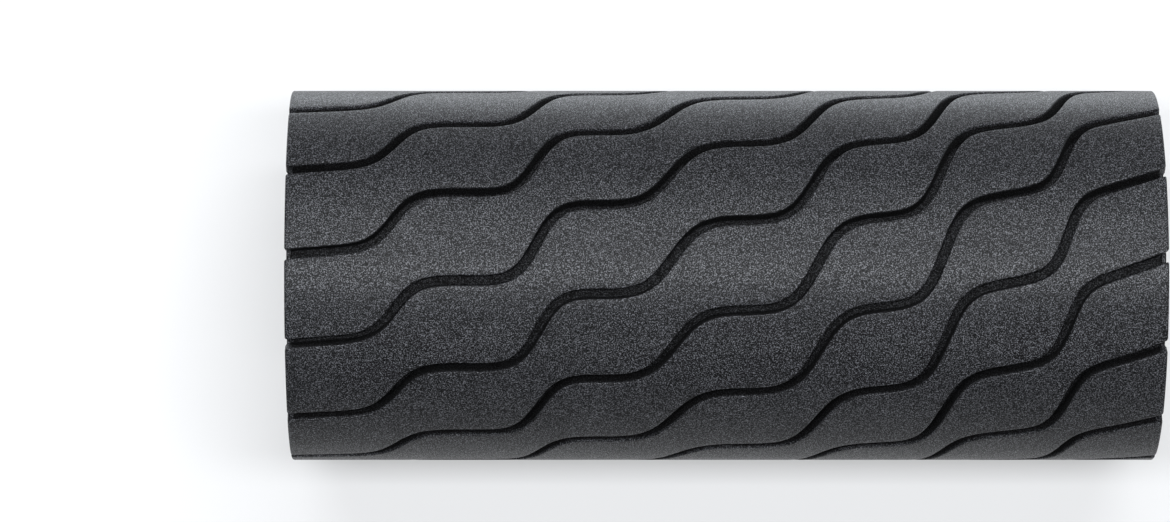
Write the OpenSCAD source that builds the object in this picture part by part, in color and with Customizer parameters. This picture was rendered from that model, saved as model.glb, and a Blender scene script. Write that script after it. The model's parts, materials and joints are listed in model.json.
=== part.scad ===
// Vibrating foam roller: a grooved foam sleeve on a tube that holds a battery, a motor with two
// eccentric weights and a control panel. The axis runs along X, the panel faces +X, and the origin
// is the middle of the roller.

/* [Roller] */
// Length of the foam sleeve
roller_l = 305; // [295:1:330]
// Outer diameter of the foam sleeve
roller_d = 131; // [126:1:150]
// Outer diameter of the tube inside the foam
tube_d = 94; // [94:0.5:95]
// Wall of the tube
tube_wall = 3.5; // [3.4:0.1:3.5]
// Foam edge radius at the two ends
edge_r = 0.8; // [0.3:0.1:1.5]

/* [Grooves] */
// Number of grooves round the sleeve
groove_count = 13; // [9:1:14]
// Width of a groove, measured square to its line
groove_w = 3.6; // [3:0.1:4.5]
// Depth of a groove
groove_deep = 6.5; // [5:0.5:10]
// Length of the shallower lip where a groove's floor runs out at each end
lip_l = 2.1; // [1:0.1:3]
// How far that lip rises above the groove's floor
lip_rise = 0.8; // [0.2:0.1:1.5]
// How far the treads stand proud of the foam inside them at each end
tread_proud = 0.45; // [0.1:0.05:0.9]
// How deep the foam flattens under the roller's own weight where it lies on the floor
rest_flat = 0.15; // [0.1:0.01:0.2]

/* [Panel] */
// Distance of the speed buttons from the axis
speed_y = 19; // [18:0.5:20]
// Diameter of the power button
power_d = 19; // [17:0.5:19]
// Diameter of a speed button
speed_d = 12.4; // [11:0.2:13]
// Travel of a button
button_travel = 0.8; // [0.5:0.1:0.9]
// Number of level lights
light_count = 5; // [3:1:5]

/* [Motor] */
// Diameter of the motor
motor_d = 36; // [35:0.5:36]
// Radius of an eccentric weight
weight_r = 21; // [18:0.5:22]
// Thickness of an eccentric weight
weight_t = 11; // [9:0.5:11]

/* [Hidden] */
$fn = 64;

// Sleeve and tube
half_l = roller_l / 2;
foam_r = roller_d / 2;
tube_r = tube_d / 2;
bore_r = tube_r - tube_wall;
flange_t = 3;
cap_sink = 1;
tube_half = half_l - cap_sink - flange_t;

// The wavy line of a groove: a gentle slope with six soft steps. Each step is
// [place along X, climb in degrees, softness in mm].
line_slope = [3.2, -0.044, 4.3, 3.8];
line_steps = [
  [-114.8, 18.4, 8.1], [-65.2, 25.8, 7.9], [-18.3, 25.5, 10.2],
  [31.4, 28.9, 9.0], [75.3, 31.2, 7.4], [118.0, 22.4, 5.6]
];
ring_gap = 6.2;
step_x = half_l - tread_proud;
tread_r = foam_r - groove_deep + lip_rise;

// Caps
wall_t = 2.5;
wall_x = tube_half;
spigot_l = 10;
recess_r = 40;
seal_x = tube_half - 7;
seal_w = 2.2;
boss_ring_r = 35.5;
boss_r = 3.6;
boss_angles = [45, 135, 225, 315];
screw_r = 1.5;
head_r = 2.8;

// Panel and control board
overlay_t = 0.8;
overlay_x = wall_x + overlay_t;
board_t = 1.6;
board_x = wall_x - 14.5;
board_r = 31;
post_ring_r = 27;
post_angles = [35, 145, 215, 325];
post_r = 2.6;
light_ring_r = 26;
light_step = 14;
light_r = 1.2;
socket_z = -24;
socket_r = 5.2;
plug_r = 1.8;
plug_l = 9.5;
switch_h = 3.5;
switch_w = 6;
plunger_r = 1.7;
plunger_top = board_x + board_t + switch_h + 1.9;
fit_gap = 0.15;

// Chassis: three pairs of bulkheads
rib_r = bore_r - 0.3;
end_rib = [tube_half - 21.5, tube_half - 18.5];
bearing_rib = [50, 55];
motor_rib = [14, 19];
rib_pairs = [end_rib, bearing_rib, motor_rib];
rail_y = 39;
seam_screw_x = [-90, 0, 90];
lead_hole_y = -31;
lead_hole_z = -13;
lead_hole_r = 4;

// Motor and weights
motor_r = motor_d / 2;
motor_half = 25;
bell_t = 3;
shaft_r = 2.5;
shaft_half = 58;
weight_x = 33;
hub_r = 6.5;
bearing_r = 8;
magnet_in_r = 12.6;
core_r = 12.2;
terminal_y = [10, 12.6];
terminal_w = 2;

// Battery
cell_r = 9.2;
cell_l = 65.2;
cell_pitch = 19.6;
cell_z = -14;
cell_x = -(bearing_rib[1] + 3.4 + cell_l);
holder_l = 6.6;

// Driver board
driver_x = [62, 120];
driver_y = 24;
driver_z = -16;

// Turns what is built along Z so that it lies along X
module along_x(x) {
  translate([x, 0, 0]) rotate([0, 90, 0]) children();
}

// Ring or disc along X, from x0 to x1
module ring_x(x0, x1, r_out, r_in = 0) {
  along_x(x0) difference() {
    cylinder(h = x1 - x0, r = r_out);
    if (r_in > 0) translate([0, 0, -1]) cylinder(h = x1 - x0 + 2, r = r_in);
  }
}

// Straight hole or peg along X at a place in the YZ plane
module peg_x(x0, x1, r, y = 0, z = 0) {
  translate([0, y, z]) along_x(x0) cylinder(h = x1 - x0, r = r);
}

// Pan-head screw along X; the head is on the side that way points to
module screw_x(x_seat, length, way, y, z) {
  peg_x(min(x_seat, x_seat - way * length), max(x_seat, x_seat - way * length), screw_r - 0.05, y, z);
  difference() {
    peg_x(min(x_seat, x_seat + way * 1.8), max(x_seat, x_seat + way * 1.8), head_r, y, z);
    translate([x_seat + way * 1.5, y, z]) cube([1.4, 3.4, 0.7], center = true);
    translate([x_seat + way * 1.5, y, z]) cube([1.4, 0.7, 3.4], center = true);
  }
}

// Box from its lowest to its highest corner
module box(low, high) {
  translate(low) cube(high - low);
}

// Groove line: angle round the sleeve, and its slope in degrees per mm
function soft(t) = 1 - 2 / (exp(2 * t) + 1);
function step_sum(x) = [for (s = line_steps) s[1] / 2 * (1 + soft((x - s[0]) / s[2]))];
function step_rate(x) = [
  for (s = line_steps) s[1] / 2 / s[2] * (1 - pow(soft((x - s[0]) / s[2]), 2))
];
function total(list) = list * [for (item = list) 1];
function line_angle(x) = let (u = x / 100)
  line_slope[0] + line_slope[1] * x + line_slope[2] * u * u + line_slope[3] * pow(u, 3)
  + total(step_sum(x));
function line_rate(x) = let (u = x / 100)
  line_slope[1] + line_slope[2] * 2 * u / 100 + line_slope[3] * 3 * u * u / 100
  + total(step_rate(x));
// Half the groove's width along the circumference
function half_chord(x) = groove_w / 2 * sqrt(1 + pow(foam_r * line_rate(x) * PI / 180, 2));
function floor_r(x) = foam_r - groove_deep + (abs(x) > half_l - lip_l ? lip_rise : 0);
function on_ring(x, r, a) = [x, r * sin(a), r * cos(a)];
function groove_ring(x) = let (
    a = line_angle(x), c = half_chord(x), low = floor_r(x), high = foam_r + 1,
    a_low = asin(c / low), a_high = asin(c / high)
  ) [
    on_ring(x, low, a - a_low), on_ring(x, high, a - a_high),
    on_ring(x, high, a + a_high), on_ring(x, low, a + a_low)
  ];
function spaced(x0, x1, gap) = let (n = ceil((x1 - x0) / gap)) [
  for (i = [0:n]) x0 + (x1 - x0) * i / n
];
function flat(rings) = [for (ring = rings) each ring];
// Triangles of a tube of n-sided rings, with both ends closed
function tube_faces(rings, n) = concat(
  [for (i = [1:n - 2]) [0, i + 1, i]],
  [for (k = [0:rings - 2], i = [0:n - 1]) let (a = k * n + i, b = k * n + (i + 1) % n) each
    [[a, b, b + n], [a, b + n, a + n]]],
  [for (i = [1:n - 2]) let (o = (rings - 1) * n) [o, o + i, o + i + 1]]
);

module groove_cutter() {
  deep_x = half_l - lip_l;
  lip_x = deep_x + 0.3;
  stations = concat([-half_l - 1, -lip_x], spaced(-deep_x, deep_x, ring_gap), [lip_x, half_l + 1]);
  rings = [for (x = stations) groove_ring(x)];
  polyhedron(points = flat(rings), faces = tube_faces(len(rings), 4), convexity = 8);
}

// The floor under the roller, up to where its weight presses the foam flat
module floor_cutter() {
  box([-half_l - 1, -foam_r / 2, -foam_r - 1], [half_l + 1, foam_r / 2, rest_flat - foam_r]);
}

module foam_sleeve() {
  color([0.16, 0.16, 0.17]) difference() {
    rotate([0, 90, 0]) rotate_extrude($fn = 180) polygon([
      [tube_r, -step_x], [tread_r, -step_x], [tread_r, -half_l], [foam_r - edge_r, -half_l],
      [foam_r, -half_l + edge_r], [foam_r, half_l - edge_r], [foam_r - edge_r, half_l],
      [tread_r, half_l], [tread_r, step_x], [tube_r, step_x]
    ]);
    for (i = [0:groove_count - 1]) rotate([-i * 360 / groove_count, 0, 0]) groove_cutter();
    floor_cutter();
  }
}

module core_tube() {
  color([0.24, 0.24, 0.25]) ring_x(-tube_half, tube_half, tube_r, bore_r, $fn = 128);
}

// Cap profile, from the middle outwards: wall, spigot with a seal groove, and flange
module cap_body() {
  rotate_extrude($fn = 128) polygon([
    [0, wall_x - wall_t], [recess_r + 0.3, wall_x - wall_t],
    [recess_r + 0.3, wall_x - spigot_l], [bore_r - 0.1, wall_x - spigot_l],
    [bore_r - 0.1, seal_x], [bore_r - 1.9, seal_x], [bore_r - 1.9, seal_x + seal_w + 0.2],
    [bore_r - 0.1, seal_x + seal_w + 0.2], [bore_r - 0.1, wall_x],
    [tube_r - 0.2, wall_x], [tube_r - 0.2, wall_x + flange_t - 0.8],
    [tube_r - 1, wall_x + flange_t], [recess_r + 1.5, wall_x + flange_t],
    [recess_r, wall_x + flange_t - 1.5], [recess_r, wall_x], [0, wall_x]
  ]);
}

function on_face(r, a) = [r * cos(a), r * sin(a)];
light_angles = [for (i = [0:light_count - 1]) 90 + (i - (light_count - 1) / 2) * light_step];
bosses = [for (a = boss_angles) on_face(boss_ring_r, a)];
posts = [for (a = post_angles) on_face(post_ring_r, a)];
lights = [for (a = light_angles) on_face(light_ring_r, a)];
buttons = [[0, power_d / 2], [speed_y, speed_d / 2], [-speed_y, speed_d / 2]];

// Openings that the panel wall and the overlay share
module panel_holes() {
  for (b = buttons) peg_x(wall_x - wall_t - 1, overlay_x + 1, b[1] + fit_gap, b[0], 0);
  for (p = lights) peg_x(wall_x - wall_t - 1, overlay_x + 1, light_r + 0.1, p[0], p[1]);
  peg_x(wall_x - wall_t - 1, overlay_x + 1, socket_r + 0.1, 0, socket_z);
}

module control_cap() {
  color([0.12, 0.12, 0.13]) difference() {
    union() {
      rotate([0, 90, 0]) cap_body();
      for (p = bosses) peg_x(end_rib[1], wall_x - wall_t + 0.5, boss_r, p[0], p[1]);
      for (p = posts) peg_x(board_x + board_t, wall_x - wall_t + 0.5, post_r, p[0], p[1]);
    }
    panel_holes();
    for (p = bosses) peg_x(end_rib[1] - 1, end_rib[1] + 9, screw_r, p[0], p[1]);
    for (p = posts) peg_x(board_x, board_x + board_t + 7, screw_r, p[0], p[1]);
  }
}

module panel_overlay() {
  color([0.05, 0.05, 0.06]) difference() {
    ring_x(wall_x, overlay_x, recess_r - 0.3, $fn = 128);
    panel_holes();
  }
}

// Button: domed cap, retaining lip behind the wall, and a stem to the switch
module button(r, y) {
  lip_x = wall_x - wall_t;
  top = overlay_x + 1.2;
  translate([0, y, 0]) rotate([0, 90, 0]) rotate_extrude($fn = 64) polygon([
    [0, plunger_top], [2.6, plunger_top], [2.6, lip_x - 1.2], [r + 1.2, lip_x - 1.2],
    [r + 1.2, lip_x - 0.05], [r, lip_x - 0.05], [r, top - 0.6], [r - 0.6, top],
    [r * 0.5, top - 0.25], [0, top - 0.35]
  ]);
}

// Raised mark on a button, about 0.3 mm proud of its dished face
module mark_box(y, size_y, size_z) {
  top = overlay_x + 1.2;
  box([top - 0.5, y - size_y / 2, -size_z / 2], [top + 0.1, y + size_y / 2, size_z / 2]);
}

module power_button() {
  top = overlay_x + 1.2;
  color([0.2, 0.2, 0.21]) {
    union() {
      button(power_d / 2, 0);
      difference() {
        ring_x(top - 0.5, top + 0.1, 3.6, 2.8);
        box([top - 1, -1.3, 0], [top + 1, 1.3, 5]);
      }
      box([top - 0.5, -0.4, 1], [top + 0.1, 0.4, 4.4]);
    }
  }
}

module speed_up_button() {
  color([0.2, 0.2, 0.21]) union() {
    button(speed_d / 2, speed_y);
    mark_box(speed_y, 5, 0.8);
    mark_box(speed_y, 0.8, 5);
  }
}

module speed_down_button() {
  color([0.2, 0.2, 0.21]) union() {
    button(speed_d / 2, -speed_y);
    mark_box(-speed_y, 5, 0.8);
  }
}

module plunger(y) {
  color([0.85, 0.82, 0.76]) peg_x(
    board_x + board_t + 0.6 + button_travel, plunger_top, plunger_r, y, 0
  );
}

module power_plunger() {
  plunger(0);
}

module speed_up_plunger() {
  plunger(speed_y);
}

module speed_down_plunger() {
  plunger(-speed_y);
}

module push_switches() {
  x0 = board_x + board_t;
  color([0.1, 0.1, 0.1]) for (b = buttons) difference() {
    box([x0, b[0] - switch_w / 2, -switch_w / 2], [x0 + switch_h, b[0] + switch_w / 2, switch_w / 2]);
    peg_x(x0 + 0.4, x0 + switch_h + 1, plunger_r + 0.05, b[0], 0);
  }
}

// One clear guide: a curved bar behind the wall with a pin for each light
module level_lights() {
  bar_x = wall_x - wall_t - 2.2;
  arc = (light_count - 1) * light_step + 8;
  color([0.9, 0.92, 0.95, 0.8]) union() {
    along_x(bar_x) rotate([0, 0, 180 - arc / 2]) rotate_extrude(angle = arc, $fn = 64)
      translate([light_ring_r - 1.6, 0]) square([3.2, 2]);
    for (p = lights) peg_x(board_x + board_t + 2.2, overlay_x, light_r, p[0], p[1]);
  }
}

module light_chips() {
  x0 = board_x + board_t;
  color([0.95, 0.95, 0.85]) for (p = lights)
    box([x0, p[0] - 1, p[1] - 0.7], [x0 + 1, p[0] + 1, p[1] + 0.7]);
}

module charge_socket() {
  x0 = board_x + board_t;
  mouth = overlay_x - 0.2;
  color([0.08, 0.08, 0.08]) difference() {
    union() {
      peg_x(x0 + 6, mouth, socket_r, 0, socket_z);
      box([x0, -4.6, socket_z - 4.6], [x0 + 9, 4.6, socket_z + 4.6]);
    }
    peg_x(mouth - plug_l, mouth + 1, plug_r, 0, socket_z);
    peg_x(x0 - 1, mouth, 0.64, 0, socket_z);
  }
}

module socket_pin() {
  color([0.75, 0.74, 0.7]) peg_x(board_x - 1, overlay_x - 1.2, 0.62, 0, socket_z);
}

module control_board() {
  color([0.06, 0.3, 0.18]) difference() {
    ring_x(board_x, board_x + board_t, board_r, $fn = 96);
    for (p = posts) peg_x(board_x - 1, board_x + board_t + 1, screw_r + 0.1, p[0], p[1]);
    peg_x(board_x - 1, board_x + board_t + 1, 0.7, 0, socket_z);
  }
}

module board_screws() {
  color("silver") for (p = posts) screw_x(board_x, 6.5, -1, p[0], p[1]);
}

module control_cap_screws() {
  color("silver") for (p = bosses) screw_x(end_rib[0], 11, -1, p[0], p[1]);
}

// Countersunk screw along -X, flush with the plain cap's wall
module sunk_screw(y, z) {
  translate([-wall_x, y, z]) rotate([0, 90, 0]) difference() {
    union() {
      cylinder(h = 1.5, r1 = 2.9, r2 = screw_r - 0.05, $fn = 32);
      cylinder(h = 12, r = screw_r - 0.05, $fn = 32);
    }
    translate([0, 0, 0.3]) cube([3, 0.7, 0.8], center = true);
    translate([0, 0, 0.3]) cube([0.7, 3, 0.8], center = true);
  }
}

module plain_cap_screws() {
  color("silver") for (p = bosses) sunk_screw(p[0], p[1]);
}

snap_angles = [0, 120, 240];

module plain_cap() {
  color([0.12, 0.12, 0.13]) difference() {
    rotate([0, -90, 0]) cap_body();
    for (p = bosses) {
      peg_x(-wall_x - 1, -wall_x + wall_t + 1, screw_r, p[0], p[1]);
      translate([-wall_x - 0.05, p[0], p[1]]) rotate([0, 90, 0])
        cylinder(h = 1.55, r1 = 2.95, r2 = screw_r, $fn = 32);
    }
    for (a = snap_angles) let (p = on_face(24, a))
      peg_x(-wall_x - 1, -wall_x + wall_t + 1, 2.1, p[0], p[1]);
  }
}

module cover_disc() {
  color([0.1, 0.1, 0.11]) union() {
    ring_x(-wall_x - 1.6, -wall_x - 0.1, recess_r - 0.3, $fn = 128);
    for (a = snap_angles) let (p = on_face(24, a))
      peg_x(-wall_x - 1, -wall_x + wall_t, 2, p[0], p[1]);
  }
}

module seal_rings() {
  color([0.08, 0.08, 0.08]) {
    ring_x(seal_x + 0.1, seal_x + 0.1 + seal_w, bore_r - 0.02, bore_r - 1.8, $fn = 96);
    ring_x(-seal_x - 0.1 - seal_w, -seal_x - 0.1, bore_r - 0.02, bore_r - 1.8, $fn = 96);
  }
}

// Everything that both chassis halves leave clear, and the solid that they share
module chassis_solid() {
  for (rib = rib_pairs, way = [-1, 1]) ring_x(min(way * rib), max(way * rib), rib_r, $fn = 96);
  for (way = [-1, 1]) box([-end_rib[1], way * rail_y - 3, -5], [end_rib[1], way * rail_y + 3, 5]);
  for (p = bosses) peg_x(-wall_x + wall_t + 0.05, -end_rib[1] + 0.5, boss_r + 0.6, p[0], p[1]);
}

module chassis_cuts() {
  ring_x(-motor_half - 5, motor_half + 5, motor_r);
  ring_x(-bearing_rib[1] - 1, bearing_rib[1] + 1, 4.5);
  for (way = [-1, 1]) ring_x(min(way * bearing_rib), max(way * bearing_rib), bearing_r);
  for (y = [lead_hole_y, -lead_hole_y])
    peg_x(-bearing_rib[1] - 1, end_rib[1] + 1, lead_hole_r, y, lead_hole_z);
  for (p = bosses) {
    peg_x(end_rib[0] - 1, end_rib[1] + 1, screw_r, p[0], p[1]);
    peg_x(end_rib[0] - 3, end_rib[0], head_r + 0.4, p[0], p[1]);
    peg_x(-wall_x, -end_rib[1] + 2, screw_r, p[0], p[1]);
  }
  for (x = seam_screw_x, way = [-1, 1])
    translate([x, way * rail_y, -6]) cylinder(h = 12, r = screw_r, $fn = 32);
  box([end_rib[0] - 1, -12, -24], [end_rib[1] + 1, 12, 24]);
}

module chassis_lower() {
  tray = 1.6;
  color([0.3, 0.31, 0.33]) difference() {
    union() {
      intersection() {
        chassis_solid();
        box([-roller_l, -foam_r, -foam_r], [roller_l, foam_r, 0]);
      }
      box([-end_rib[1], -29, cell_z - cell_r - 0.8 - tray],
          [-bearing_rib[0], 29, cell_z - cell_r - 0.8]);
      box([bearing_rib[0], -29, cell_z - cell_r - 0.8 - tray],
          [end_rib[1], 29, cell_z - cell_r - 0.8]);
      for (way = [-1, 1]) box([-bearing_rib[1], way * 24 - 2, -34], [bearing_rib[1], way * 24 + 2, -30]);
      for (x = driver_x, y = [-1, 1])
        translate([x + (x < 90 ? 4 : -4), y * (driver_y - 4), cell_z - cell_r - 1])
          cylinder(h = driver_z - cell_z + cell_r + 1, r = 3, $fn = 32);
    }
    chassis_cuts();
    for (x = driver_x, y = [-1, 1])
      translate([x + (x < 90 ? 4 : -4), y * (driver_y - 4), driver_z - 7])
        cylinder(h = 8, r = 1.2, $fn = 32);
  }
}

module chassis_upper() {
  color([0.3, 0.31, 0.33]) difference() {
    union() {
      intersection() {
        chassis_solid();
        box([-roller_l, -foam_r, 0.05], [roller_l, foam_r, foam_r]);
      }
      for (way = [-1, 1]) box([-end_rib[1], way * 20 - 2.5, 32], [end_rib[1], way * 20 + 2.5, 36]);
    }
    chassis_cuts();
  }
}

module chassis_screws() {
  color("silver") for (x = seam_screw_x, way = [-1, 1]) translate([x, way * rail_y, -4.9]) {
    cylinder(h = 9.9, r = screw_r - 0.05, $fn = 32);
    translate([0, 0, 9.9]) difference() {
      cylinder(h = 1.8, r = 2.6, $fn = 32);
      translate([0, 0, 1.6]) cube([3.2, 0.7, 1.4], center = true);
      translate([0, 0, 1.6]) cube([0.7, 3.2, 1.4], center = true);
    }
  }
}

module motor_can() {
  color([0.62, 0.63, 0.65]) ring_x(-motor_half, motor_half, motor_r, motor_r - 1.4, $fn = 96);
}

// Way for a brush terminal through the end bell on the panel side
module terminal_slot(side) {
  y = [min(side * terminal_y), max(side * terminal_y)];
  half_z = terminal_w / 2 + 0.2;
  box([motor_half - 4, y[0] - 0.2, -half_z], [motor_half + 4, y[1] + 0.2, half_z]);
}

module motor_end_bells() {
  color([0.7, 0.7, 0.72]) for (way = [-1, 1]) difference() {
    union() {
      ring_x(min(way * motor_half, way * (motor_half + bell_t)),
             max(way * motor_half, way * (motor_half + bell_t)), motor_r - 0.5, $fn = 96);
      ring_x(min(way * (motor_half - 3), way * motor_half),
             max(way * (motor_half - 3), way * motor_half), motor_r - 1.45, motor_r - 3, $fn = 96);
    }
    ring_x(-motor_half - 6, motor_half + 6, 5);
    if (way > 0) for (side = [-1, 1]) terminal_slot(side);
    for (a = [45:90:315]) let (p = on_face(11.5, a))
      peg_x(-motor_half - 6, motor_half + 6, 2, p[0], p[1]);
  }
}

module motor_bushes() {
  color([0.72, 0.55, 0.3]) for (way = [-1, 1])
    ring_x(min(way * (motor_half - 1), way * (motor_half + bell_t)),
           max(way * (motor_half - 1), way * (motor_half + bell_t)), 5, shaft_r + 0.03);
}

module field_magnets() {
  color([0.2, 0.2, 0.22]) for (side = [0, 180]) along_x(-14) rotate([0, 0, side - 62])
    rotate_extrude(angle = 124, $fn = 96) translate([magnet_in_r, 0])
      square([motor_r - 1.45 - magnet_in_r, 28]);
}

module armature_core() {
  color([0.5, 0.5, 0.52]) difference() {
    ring_x(-13, 13, core_r, shaft_r, $fn = 96);
    for (a = [0:72:288]) let (p = on_face(core_r, a)) translate([-14, p[0], p[1]])
      rotate([a, 0, 0]) box([0, -5, -1.2], [28, 3, 1.2]);
  }
}

module armature_windings() {
  color([0.72, 0.38, 0.16]) {
    ring_x(13, 16.5, 9.6, 5, $fn = 96);
    ring_x(-16.5, -13, 9.6, 5, $fn = 96);
  }
}

module commutator() {
  color([0.8, 0.5, 0.25]) difference() {
    ring_x(16.9, 22.4, 5.6, shaft_r);
    for (a = [0:72:288]) rotate([a, 0, 0]) box([16, -0.2, 4.6], [23, 0.2, 7]);
  }
}

brush_x = [17.6, 21.6];

module brushes() {
  color([0.12, 0.12, 0.12]) for (way = [-1, 1])
    box([brush_x[0], min(way * 5.7, way * 10.4), -1.8], [brush_x[1], max(way * 5.7, way * 10.4), 1.8]);
}

module brush_holders() {
  color([0.75, 0.6, 0.35]) for (way = [-1, 1]) {
    difference() {
      box([brush_x[0] - 1, min(way * 7, way * 13), -2.8], [brush_x[1] + 0.4, max(way * 7, way * 13), 2.8]);
      box([brush_x[0] - 0.05, min(way * 5, way * 11), -1.85],
          [brush_x[1] + 0.05, max(way * 5, way * 11), 1.85]);
    }
    box([brush_x[1] + 0.4, min(way * terminal_y), -terminal_w / 2],
        [motor_half + bell_t + 3, max(way * terminal_y), terminal_w / 2]);
  }
}

module motor_shaft() {
  color([0.8, 0.8, 0.82]) ring_x(-shaft_half, shaft_half, shaft_r);
}

// Half-round steel weight with a hub, hanging down
module weight_body() {
  ring_x(weight_x, weight_x + weight_t, hub_r);
  intersection() {
    ring_x(weight_x, weight_x + weight_t, weight_r, $fn = 96);
    box([weight_x - 1, -weight_r - 1, -weight_r - 1], [weight_x + weight_t + 1, weight_r + 1, 0]);
  }
}

module eccentric_weights() {
  color([0.45, 0.46, 0.48]) for (turn = [0, 180]) rotate([0, 0, turn]) difference() {
    weight_body();
    ring_x(weight_x - 1, weight_x + weight_t + 1, shaft_r);
    translate([weight_x + weight_t / 2, 0, 0]) cylinder(h = hub_r + 1, r = 1.5, $fn = 32);
  }
}

module weight_screws() {
  color([0.2, 0.2, 0.2]) for (turn = [0, 180]) rotate([0, 0, turn])
    translate([weight_x + weight_t / 2, 0, shaft_r]) difference() {
      cylinder(h = 3.6, r = 1.48, $fn = 32);
      translate([0, 0, 2.4]) cylinder(h = 2, r = 0.8, $fn = 6);
    }
}

// Ball bearing, 5 x 16 x 5, seated in each bearing bulkhead
ball_ring_r = 5.25;
ball_r = 1.2;
race_r = 1.26;

module race_groove(x) {
  along_x(x) rotate_extrude($fn = 96) translate([ball_ring_r, 0]) circle(r = race_r, $fn = 32);
}

function bearing_mid(way) = way * (bearing_rib[0] + bearing_rib[1]) / 2;

module bearing_outer_rings() {
  color([0.72, 0.73, 0.75]) for (way = [-1, 1]) difference() {
    ring_x(min(way * bearing_rib), max(way * bearing_rib), bearing_r, 6.2, $fn = 96);
    race_groove(bearing_mid(way));
  }
}

module bearing_inner_rings() {
  color([0.78, 0.79, 0.8]) for (way = [-1, 1]) difference() {
    ring_x(min(way * bearing_rib), max(way * bearing_rib), 4.3, shaft_r, $fn = 96);
    race_groove(bearing_mid(way));
  }
}

module bearing_balls() {
  color([0.85, 0.86, 0.88]) for (way = [-1, 1], a = [0:51.42:309]) let (p = on_face(ball_ring_r, a))
    translate([bearing_mid(way), p[0], p[1]]) sphere(r = ball_r, $fn = 24);
}

cell_rows = [for (i = [-1:1]) i * cell_pitch];

module battery_cells() {
  color([0.1, 0.35, 0.45]) for (y = cell_rows) {
    peg_x(cell_x, cell_x + cell_l - 1.2, cell_r, y, cell_z);
    peg_x(cell_x + cell_l - 1.2, cell_x + cell_l, 3, y, cell_z);
  }
}

module cell_holders() {
  starts = [cell_x - 2.4, cell_x + cell_l - holder_l + 2.4];
  color([0.14, 0.14, 0.15]) for (k = [0, 1]) difference() {
    box([starts[k], -cell_pitch - 9.9, cell_z - 9.9], [starts[k] + holder_l, cell_pitch + 9.9, cell_z + 9.9]);
    for (y = cell_rows) {
      peg_x(cell_x - 0.4, cell_x + cell_l + 0.4, cell_r + 0.05, y, cell_z);
      peg_x(starts[k] - 1, starts[k] + holder_l + 1, 5.5, y, cell_z);
    }
  }
}

// Welded strips that join the cells in a row
module cell_links() {
  left = cell_x;
  right = cell_x + cell_l;
  color([0.8, 0.8, 0.78]) {
    for (y = cell_rows) {
      peg_x(left - 0.3, left, 4.6, y, cell_z);
      peg_x(right, right + 0.3, 4.6, y, cell_z);
    }
    box([left - 2.9, -cell_pitch, cell_z - 2.5], [left - 2.5, 0, cell_z + 2.5]);
    box([right + 2.5, 0, cell_z - 2.5], [right + 2.9, cell_pitch, cell_z + 2.5]);
    for (y = [-cell_pitch, 0]) box([left - 2.6, y - 1.5, cell_z - 2], [left - 0.2, y + 1.5, cell_z + 2]);
    for (y = [0, cell_pitch]) box([right + 0.2, y - 1.5, cell_z - 2], [right + 2.6, y + 1.5, cell_z + 2]);
  }
}

// Flat outline round the three cells
module pack_outline(r) {
  union() {
    for (y = [-cell_pitch, cell_pitch]) translate([-cell_z, y]) circle(r = r, $fn = 64);
    translate([-cell_z - r, -cell_pitch]) square([2 * r, 2 * cell_pitch]);
  }
}

module battery_straps() {
  color([0.07, 0.07, 0.08]) for (x = [16, 41]) along_x(cell_x + x) linear_extrude(8) difference() {
    pack_outline(cell_r + 0.8);
    pack_outline(cell_r + 0.05);
  }
}

module battery_pads() {
  z0 = cell_z - cell_r - 0.8;
  color([0.2, 0.2, 0.2]) for (x = [6, 26, 51]) for (y = cell_rows)
    box([cell_x + x, y - 3, z0], [cell_x + x + 8, y + 3, z0 + 0.8]);
}

module protection_board() {
  z0 = cell_z + cell_r + 0.85;
  color([0.06, 0.3, 0.18]) {
    box([cell_x + 14, -11, z0], [cell_x + 51, 11, z0 + 1.2]);
    for (x = [20, 28, 36]) box([cell_x + x, -5, z0 + 1.2], [cell_x + x + 5, -1, z0 + 2.4]);
  }
}

module driver_board() {
  color([0.06, 0.3, 0.18]) difference() {
    box([driver_x[0], -driver_y, driver_z], [driver_x[1], driver_y, driver_z + board_t]);
    for (x = driver_x, y = [-1, 1])
      translate([x + (x < 90 ? 4 : -4), y * (driver_y - 4), driver_z - 1]) cylinder(h = 4, r = 1.4, $fn = 32);
  }
}

module driver_board_screws() {
  color("silver") for (x = driver_x, y = [-1, 1])
    translate([x + (x < 90 ? 4 : -4), y * (driver_y - 4), driver_z - 5]) {
      cylinder(h = 5 + board_t, r = 1.15, $fn = 32);
      translate([0, 0, 5 + board_t]) difference() {
        cylinder(h = 1.4, r = 2.3, $fn = 32);
        translate([0, 0, 1.2]) cube([2.8, 0.6, 1], center = true);
        translate([0, 0, 1.2]) cube([0.6, 2.8, 1], center = true);
      }
    }
}

board_top = driver_z + board_t;

module capacitors() {
  color([0.1, 0.12, 0.3]) for (x = [76, 88]) translate([x, 8, board_top]) cylinder(h = 12, r = 5, $fn = 48);
}

module transistors() {
  color([0.1, 0.1, 0.1]) for (i = [0:3])
    box([72 + 9 * i, -12, board_top], [78 + 9 * i, -6, board_top + 2.2]);
}

lead_ends = [[66, -11], [112, 11], [66, 11]];

module board_connectors() {
  color([0.92, 0.9, 0.84]) for (p = lead_ends)
    box([p[0] - 3, p[1] - 5, board_top], [p[0] + 3, p[1] + 5, board_top + 6]);
}

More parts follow.
